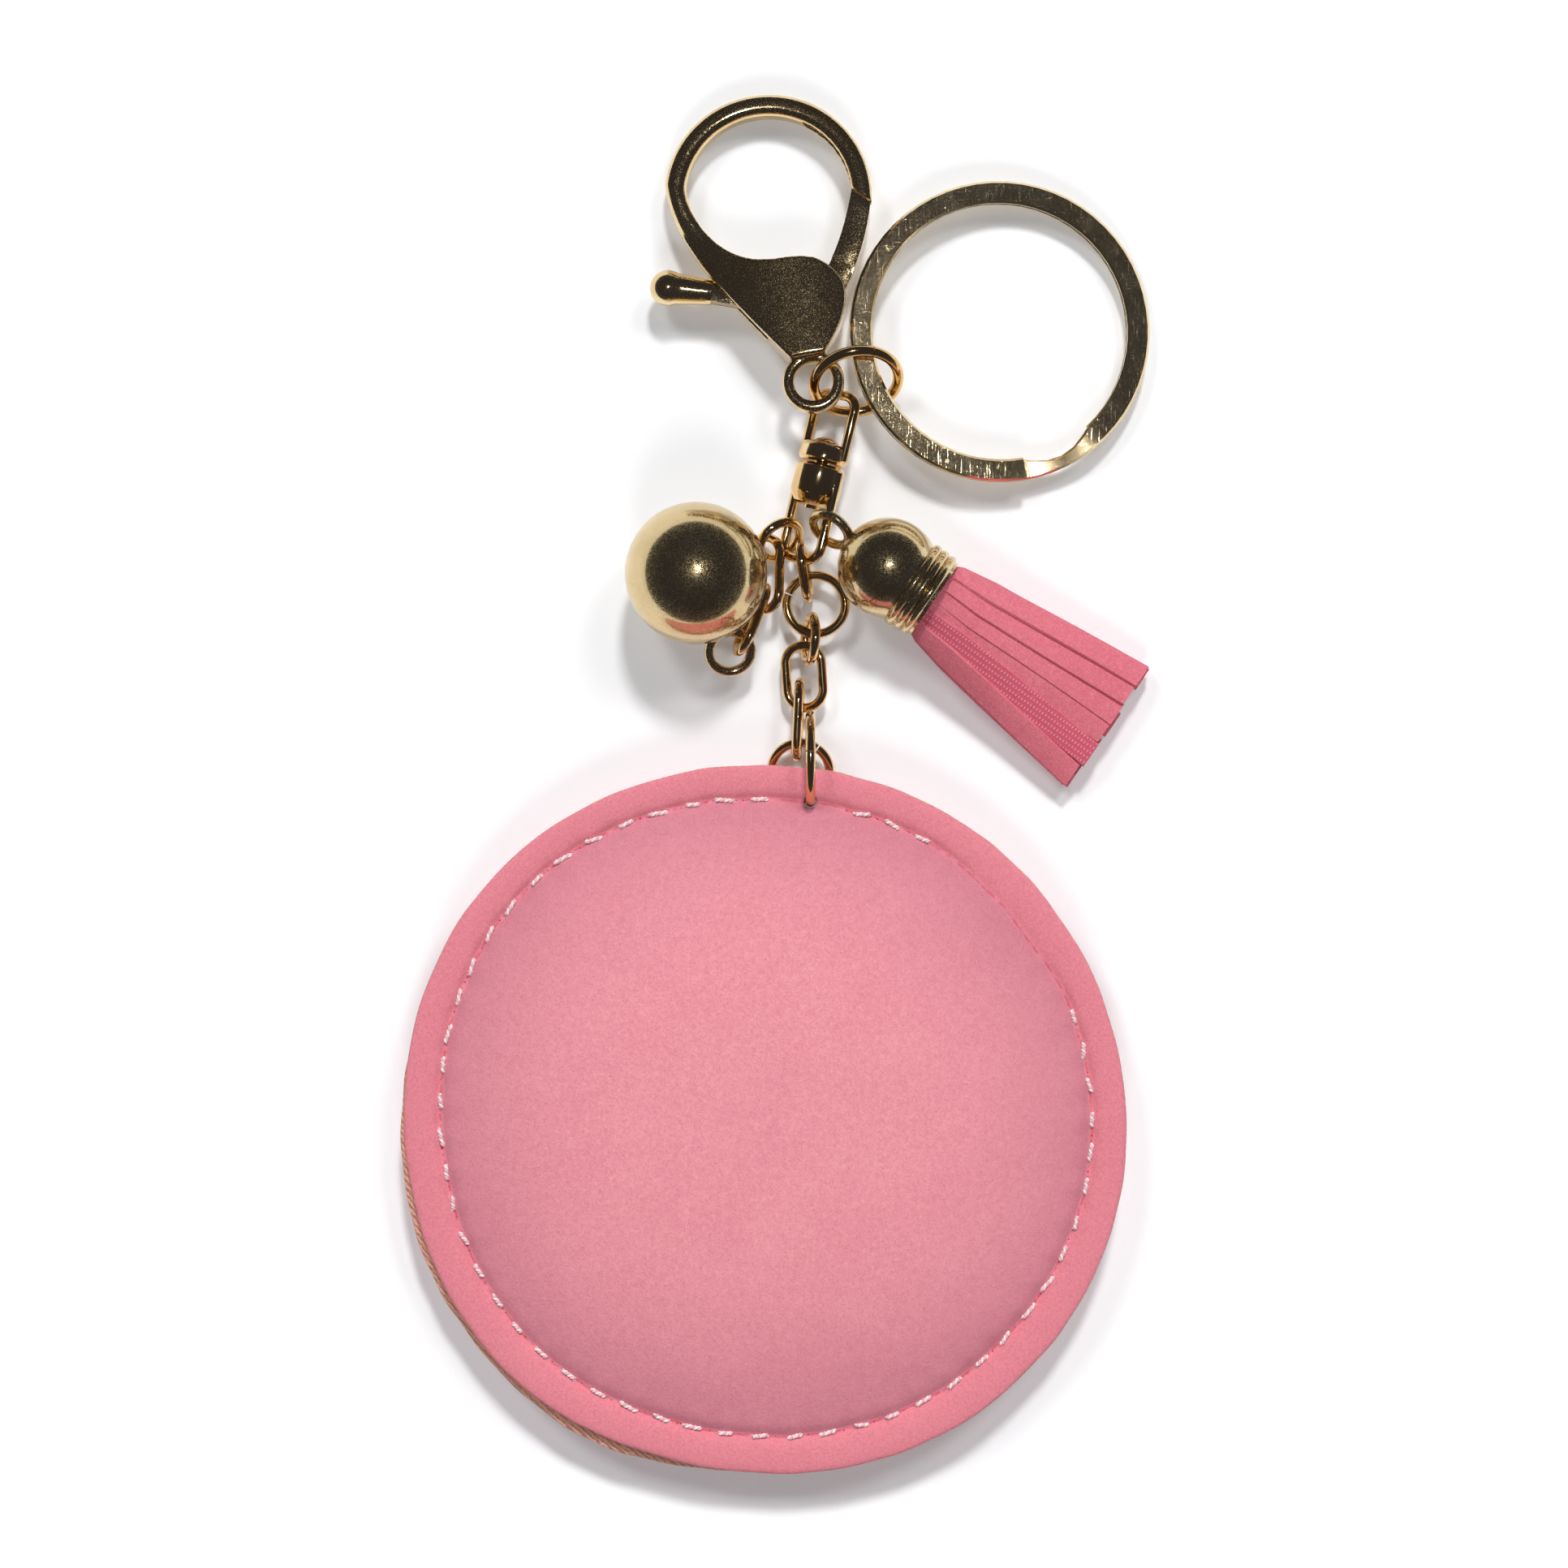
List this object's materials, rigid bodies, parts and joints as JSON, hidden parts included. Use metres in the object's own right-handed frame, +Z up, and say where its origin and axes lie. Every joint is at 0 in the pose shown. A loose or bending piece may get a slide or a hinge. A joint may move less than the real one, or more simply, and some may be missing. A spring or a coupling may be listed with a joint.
{
  "type": "bag charm keychain",
  "caption": "Bag-charm keychain with a lobster clasp, split key ring, barrel swivel, linked chain, ball, suede tassel and padded stitched disc.",
  "frame": {"origin": "middle of the box in plan, on the table that the keychain lies on", "axes": "+Y towards the clasp, +X towards the key ring, +Z up from the table"},
  "size_m": [0.0736, 0.1374, 0.0141],
  "materials": {
    "gold": "polished pale gold plating",
    "steel": "plain",
    "suede": "napped pink suede",
    "suede_back": "napped pink suede",
    "wadding": "soft",
    "thread": "twisted"
  },
  "bodies": {
    "clasp": {"clasp_body": "gold", "clasp_pivot_pin": "steel", "clasp_spring": "steel"},
    "lever": {"clasp_lever": "gold"},
    "connector": {"connector_ring": "gold"},
    "keys": {"key_ring": "gold"},
    "swivel_upper": {"swivel_upper": "gold"},
    "swivel_lower": {"swivel_lower": "gold", "swivel_rivet": "gold"},
    "ball_ring": {"ball_ring": "gold"},
    "ball_link_1": {"ball_link_1": "gold"},
    "ball_link_2": {"ball_link_2": "gold"},
    "ball": {"ball_charm": "gold"},
    "tassel": {"tassel_cap": "gold", "tassel_fringe": "suede"},
    "chain_link_1": {"chain_link_1": "gold"},
    "chain_ring_2": {"chain_ring_2": "gold"},
    "chain_ring_3": {"chain_ring_3": "gold"},
    "chain_link_4": {"chain_link_4": "gold"},
    "chain_link_5": {"chain_link_5": "gold"},
    "back_ring": {"back_ring": "gold"},
    "disc_ring": {"disc_ring": "gold"},
    "disc": {"disc_front_panel": "suede", "disc_back_panel": "suede_back", "disc_padding": "wadding", "disc_stitching": "thread"}
  },
  "joints": [
    {"name": "lever_pivot", "type": "hinge", "parent": "clasp", "child": "lever", "pos_m": [0.00354, 0.04763, 0.00381], "axis": [-0.0248, 0.1025, 0.9944], "range_deg": [0, 22], "stiffness_Nm_per_rad": 0.02, "springref_deg": -8.59},
    {"name": "connector_swing", "type": "hinge", "parent": "clasp", "child": "connector", "pos_m": [0.00458, 0.04199, 0.00442], "axis": [-0.8377, 0.5407, -0.0766], "range_deg": [-40, 12]},
    {"name": "key_ring_swing", "type": "hinge", "parent": "connector", "child": "keys", "pos_m": [0.01082, 0.03874, 0.0016], "axis": [0.5972, 0.5851, 0.5486], "range_deg": [-40, 6]},
    {"name": "swivel_swing", "type": "hinge", "parent": "connector", "child": "swivel_upper", "pos_m": [0.00424, 0.03793, 0.00209], "axis": [-0.6351, 0.433, 0.6396], "range_deg": [-40, 30]},
    {"name": "swivel_spin", "type": "hinge", "parent": "swivel_upper", "child": "swivel_lower", "pos_m": [0.00406, 0.03191, 0.00257], "axis": [0.2299, 0.9726, -0.0349], "continuous": true},
    {"name": "ball_ring_swing", "type": "hinge", "parent": "swivel_lower", "child": "ball_ring", "pos_m": [0.0007, 0.0258, 0.00145], "axis": [-0.2299, -0.9726, 0.0349], "range_deg": [-10, 8]},
    {"name": "ball_link_1_swing", "type": "hinge", "parent": "ball_ring", "child": "ball_link_1", "pos_m": [-0.00208, 0.02367, 0.00305], "axis": [0.028, 0.7177, 0.6958], "range_deg": [-40, 6]},
    {"name": "ball_link_2_swing", "type": "hinge", "parent": "ball_link_1", "child": "ball_link_2", "pos_m": [-0.00325, 0.01867, 0.0016], "axis": [-0.1307, 0.9621, -0.2395], "range_deg": [-40, 4]},
    {"name": "ball_swing", "type": "hinge", "parent": "ball_link_2", "child": "ball", "pos_m": [-0.00353, 0.01395, 0.00512], "axis": [0.4892, 0.7599, 0.4281], "range_deg": [0, 16]},
    {"name": "tassel_swing", "type": "hinge", "parent": "swivel_lower", "child": "tassel", "pos_m": [0.00464, 0.02627, 0.00411], "axis": [-0.2299, -0.9726, 0.0349], "range_deg": [-2, 45]},
    {"name": "chain_1_swing", "type": "hinge", "parent": "swivel_lower", "child": "chain_link_1", "pos_m": [0.00267, 0.02235, 0.00352], "axis": [-0.812, 0.0618, -0.5804], "range_deg": [-6, 8]},
    {"name": "chain_2_swing", "type": "hinge", "parent": "chain_link_1", "child": "chain_ring_2", "pos_m": [0.00261, 0.02086, 0.00074], "axis": [-0.1504, 0.9829, 0.1063], "range_deg": [-40, 25]},
    {"name": "chain_3_swing", "type": "hinge", "parent": "chain_ring_2", "child": "chain_ring_3", "pos_m": [0.00222, 0.0153, 0.002], "axis": [0.898, -0.4336, 0.074], "range_deg": [-45, 45]},
    {"name": "chain_4_swing", "type": "hinge", "parent": "chain_ring_3", "child": "chain_link_4", "pos_m": [0.0027, 0.01232, 0.00238], "axis": [0.2119, -0.1429, 0.9668], "range_deg": [-40, 20]},
    {"name": "chain_5_swing", "type": "hinge", "parent": "chain_link_4", "child": "chain_link_5", "pos_m": [0.00167, 0.0078, 0.00175], "axis": [0.9011, -0.4135, 0.1304], "range_deg": [-45, 45]},
    {"name": "back_ring_swing", "type": "hinge", "parent": "chain_link_5", "child": "back_ring", "pos_m": [0.00159, 0.00307, 0.00129], "axis": [-0.0593, -0.5623, 0.8248], "range_deg": [-45, 0]},
    {"name": "disc_ring_swing", "type": "hinge", "parent": "back_ring", "child": "disc_ring", "pos_m": [0.00273, 0.00404, 0.00209], "axis": [-0.9604, 0.2784, -0.0139], "range_deg": [-4, 15]},
    {"name": "disc_swing", "type": "hinge", "parent": "disc_ring", "child": "disc", "pos_m": [0.00292, -0.00175, 0.0048], "axis": [0, 0, -1], "range_deg": [-25, 20]}
  ]
}
